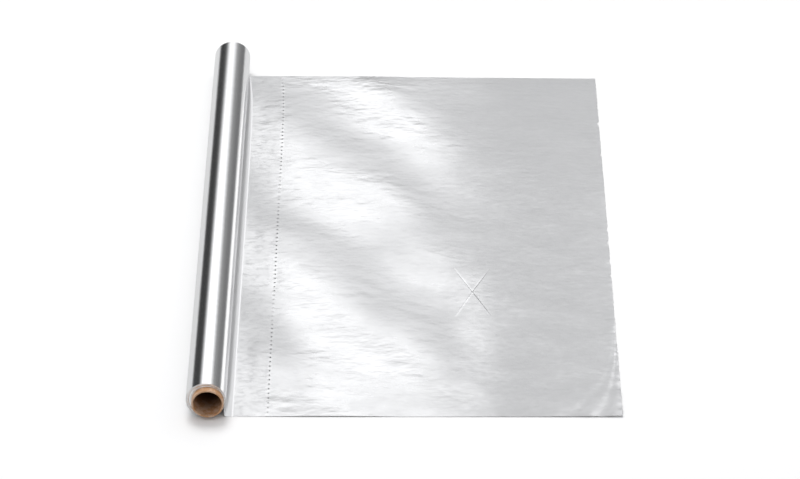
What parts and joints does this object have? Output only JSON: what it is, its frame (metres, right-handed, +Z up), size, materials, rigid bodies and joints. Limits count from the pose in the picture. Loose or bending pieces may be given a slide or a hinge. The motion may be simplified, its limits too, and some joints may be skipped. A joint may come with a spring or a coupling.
{
  "type": "aluminium foil grill liner roll",
  "caption": "Roll of aluminium foil grill liner on a cardboard tube, with one perforated liner pulled out flat beside it, crossed slits near its middle.",
  "frame": {"origin": "middle of the footprint, on the surface that the roll and the pulled-out liner lie on", "axes": "+X from the roll towards the liner's free edge, +Y along the roll away from the end that shows its core, +Z up"},
  "size_m": [0.3852, 0.6162, 0.0355],
  "materials": {
    "foil": "bright, lightly brushed and softly wrinkled",
    "cardboard": "matt brown board"
  },
  "bodies": {
    "root": {"foil_web": "foil", "core_tube": "cardboard"}
  },
  "joints": []
}
